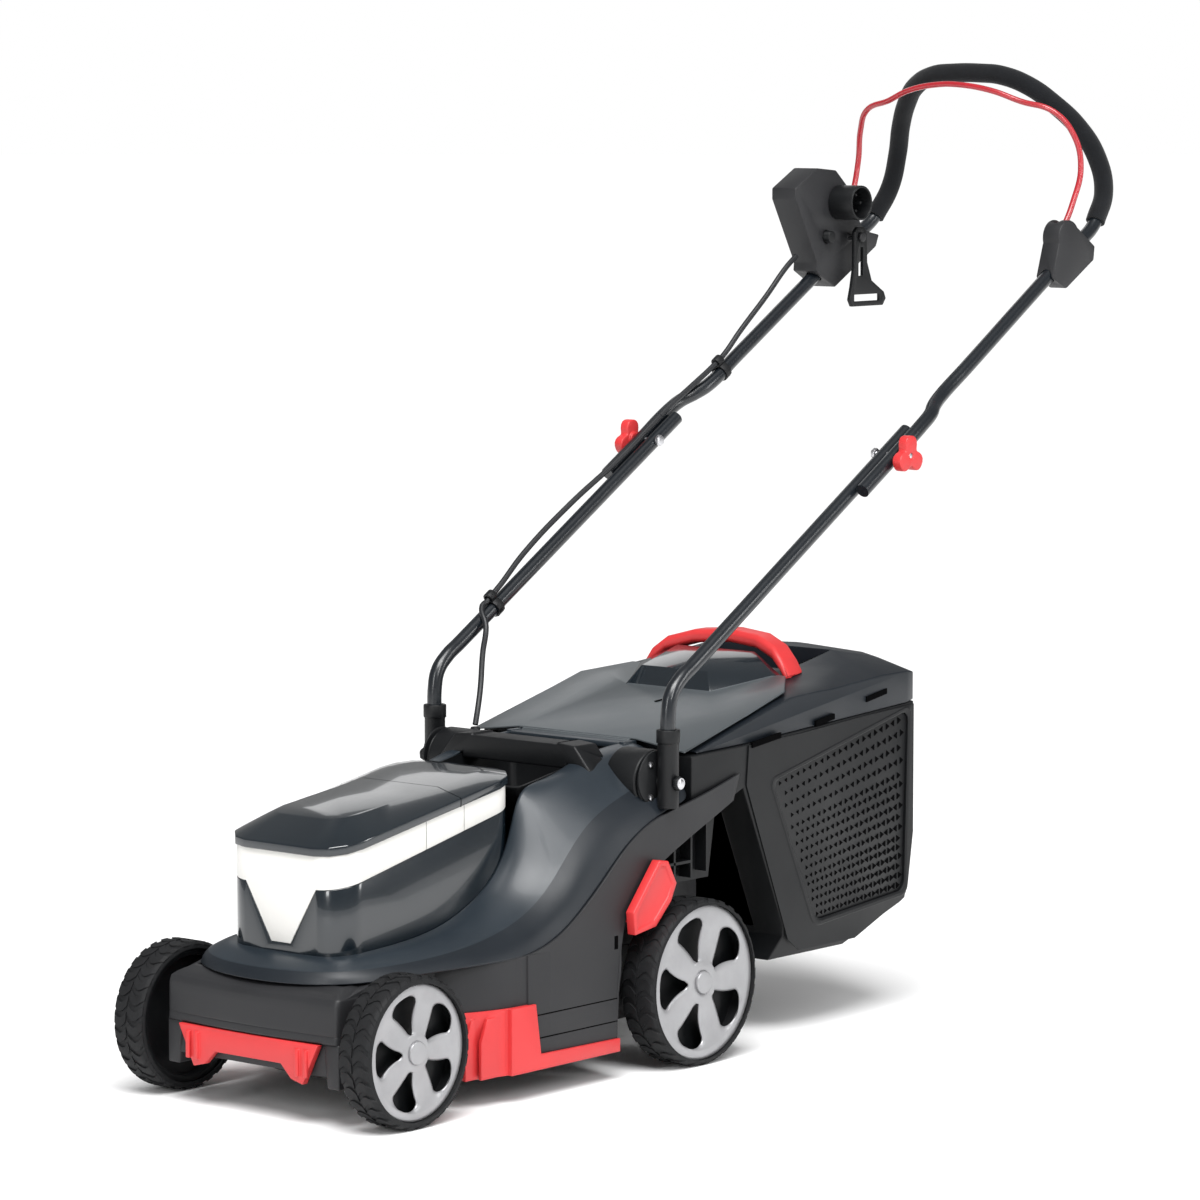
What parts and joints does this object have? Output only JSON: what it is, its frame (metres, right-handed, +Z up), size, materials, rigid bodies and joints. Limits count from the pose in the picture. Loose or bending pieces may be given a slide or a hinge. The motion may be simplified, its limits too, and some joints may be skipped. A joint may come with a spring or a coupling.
{
  "type": "rotary lawn mower",
  "caption": "Corded electric rotary lawn mower with a grass box, folding bow handle, safety bail, cutting-height lever and four spoked wheels.",
  "frame": {"origin": "centre of the overall box on the ground plane", "axes": "+Z up, +Y from the nose to the handle, +X to the left side as the user stands"},
  "size_m": [0.408, 1.305, 1.0548],
  "materials": {
    "black_plastic": "fine-grained black moulding",
    "grey_plastic": "satin dark grey moulding",
    "gloss_shell": "glossy dark blue",
    "satin_shell": "satin grey blue",
    "flap_shell": "satin light grey",
    "white_trim": "satin white",
    "red_plastic": "satin red",
    "silver_trim": "silver paint, satin",
    "tread": "black ribbed tread",
    "foam": "soft closed-cell foam",
    "cable_sheath": "smooth black sheath",
    "black_tube": "black powder coat",
    "red_rod": "red coating",
    "steel": "zinc-plated steel",
    "motor_can": "plain metal"
  },
  "bodies": {
    "base": {"deck": "grey_plastic", "hood": "satin_shell", "motor": "motor_can", "motor_mount": "black_plastic", "motor_cover": "gloss_shell", "cover_trim": "white_trim", "motor_cap": "gloss_shell", "carry_handle": "black_plastic", "front_bumper": "red_plastic", "side_comb_left": "red_plastic", "side_comb_right": "red_plastic", "pivot_plate_left": "steel", "pivot_plate_right": "steel", "flap_pin": "steel"},
    "rotor": {"motor_shaft": "steel", "cooling_fan": "black_plastic", "blade": "black_tube", "blade_carrier": "steel", "blade_bolt": "steel"},
    "front_crank": {"front_axle": "steel"},
    "rear_crank": {"rear_axle": "steel", "height_lever": "red_plastic"},
    "link": {"height_link": "black_plastic"},
    "front_left_wheel": {"front_tyre_left": "tread", "front_wheel_left": "black_plastic", "front_wheel_cover_left": "silver_trim"},
    "front_right_wheel": {"front_tyre_right": "tread", "front_wheel_right": "black_plastic", "front_wheel_cover_right": "silver_trim"},
    "rear_left_wheel": {"rear_tyre_left": "tread", "rear_wheel_left": "black_plastic", "rear_wheel_cover_left": "silver_trim"},
    "rear_right_wheel": {"rear_tyre_right": "tread", "rear_wheel_right": "black_plastic", "rear_wheel_cover_right": "silver_trim"},
    "lower_handle": {"lower_tube_left": "black_tube", "lower_tube_right": "black_tube", "socket_left": "black_plastic", "socket_right": "black_plastic", "lower_clip": "black_plastic", "cable_lower": "cable_sheath", "cable_mid": "cable_sheath"},
    "upper_handle": {"upper_handle": "black_tube", "clamp_bolt_left": "steel", "clamp_bolt_right": "steel", "foam_grip": "foam", "upper_clip": "black_plastic", "cable_upper": "cable_sheath", "switch_box": "grey_plastic", "power_inlet": "black_plastic", "bail_bracket": "grey_plastic"},
    "left_knob": {"knob_left": "red_plastic"},
    "right_knob": {"knob_right": "red_plastic"},
    "bail": {"bail": "red_rod"},
    "lock_button": {"lock_button": "black_plastic"},
    "cable_hook": {"cable_hook": "black_plastic"},
    "rear_flap": {"rear_flap": "flap_shell"},
    "grass_box": {"basket": "black_plastic", "basket_lid": "satin_shell", "basket_handle": "red_plastic"}
  },
  "joints": [
    {"name": "blade_spin", "type": "hinge", "parent": "base", "child": "rotor", "pos_m": [0, -0.39505, 0.12], "axis": [0, 0, 1], "continuous": true},
    {"name": "height_adjust", "type": "hinge", "parent": "base", "child": "rear_crank", "pos_m": [0, -0.16978, 0.06886], "axis": [-1, 0, 0], "range_deg": [0, 64]},
    {"name": "front_crank_turn", "type": "hinge", "parent": "base", "child": "front_crank", "pos_m": [0, -0.60728, 0.05736], "axis": [-1, 0, 0], "range_deg": [0, 64]},
    {"name": "link_turn", "type": "hinge", "parent": "rear_crank", "child": "link", "pos_m": [-0.106, -0.16215, 0.1122], "axis": [-1, 0, 0], "range_deg": [-64, 0]},
    {"name": "front_left_wheel_spin", "type": "hinge", "parent": "front_crank", "child": "front_left_wheel", "pos_m": [0.16, -0.57505, 0.0775], "axis": [1, 0, 0], "continuous": true},
    {"name": "front_right_wheel_spin", "type": "hinge", "parent": "front_crank", "child": "front_right_wheel", "pos_m": [-0.16, -0.57505, 0.0775], "axis": [1, 0, 0], "continuous": true},
    {"name": "rear_left_wheel_spin", "type": "hinge", "parent": "rear_crank", "child": "rear_left_wheel", "pos_m": [0.16, -0.13755, 0.089], "axis": [1, 0, 0], "continuous": true},
    {"name": "rear_right_wheel_spin", "type": "hinge", "parent": "rear_crank", "child": "rear_right_wheel", "pos_m": [-0.16, -0.13755, 0.089], "axis": [1, 0, 0], "continuous": true},
    {"name": "lower_handle_fold", "type": "hinge", "parent": "base", "child": "lower_handle", "pos_m": [0, -0.17005, 0.304], "axis": [1, 0, 0], "range_deg": [0, 100]},
    {"name": "upper_handle_fold", "type": "hinge", "parent": "lower_handle", "child": "upper_handle", "pos_m": [0, 0.20235, 0.6279], "axis": [1, 0, 0], "range_deg": [0, 90]},
    {"name": "left_knob_turn", "type": "hinge", "parent": "upper_handle", "child": "left_knob", "pos_m": [0.196, 0.20235, 0.6279], "axis": [1, 0, 0], "continuous": true},
    {"name": "right_knob_turn", "type": "hinge", "parent": "upper_handle", "child": "right_knob", "pos_m": [-0.196, 0.20235, 0.6279], "axis": [1, 0, 0], "continuous": true},
    {"name": "bail_squeeze", "type": "hinge", "parent": "upper_handle", "child": "bail", "pos_m": [0, 0.54195, 0.857], "axis": [-1, 0, 0], "range_deg": [0, 9.5], "stiffness_Nm_per_rad": 2, "springref_deg": -8.59},
    {"name": "lock_button_press", "type": "slide", "parent": "upper_handle", "child": "lock_button", "axis": [-1, 0, 0], "range_m": [0, 0.004], "stiffness_N_per_m": 300, "springref_m": -0.003},
    {"name": "cable_hook_swing", "type": "hinge", "parent": "upper_handle", "child": "cable_hook", "pos_m": [-0.1325, 0.54895, 0.851], "axis": [1, 0, 0], "range_deg": [-25, 25]},
    {"name": "rear_flap_lift", "type": "hinge", "parent": "base", "child": "rear_flap", "pos_m": [0, -0.12805, 0.331], "axis": [1, 0, 0], "range_deg": [0, 55], "stiffness_Nm_per_rad": 0.4, "springref_deg": -17.19},
    {"name": "grass_box_pull", "type": "slide", "parent": "base", "child": "grass_box", "axis": [0, 1, 0], "range_m": [0, 0.25]}
  ],
  "couplings": [
    {"joint": "front_crank_turn", "follows": "height_adjust", "ratio": 1},
    {"joint": "link_turn", "follows": "height_adjust", "ratio": -1}
  ]
}
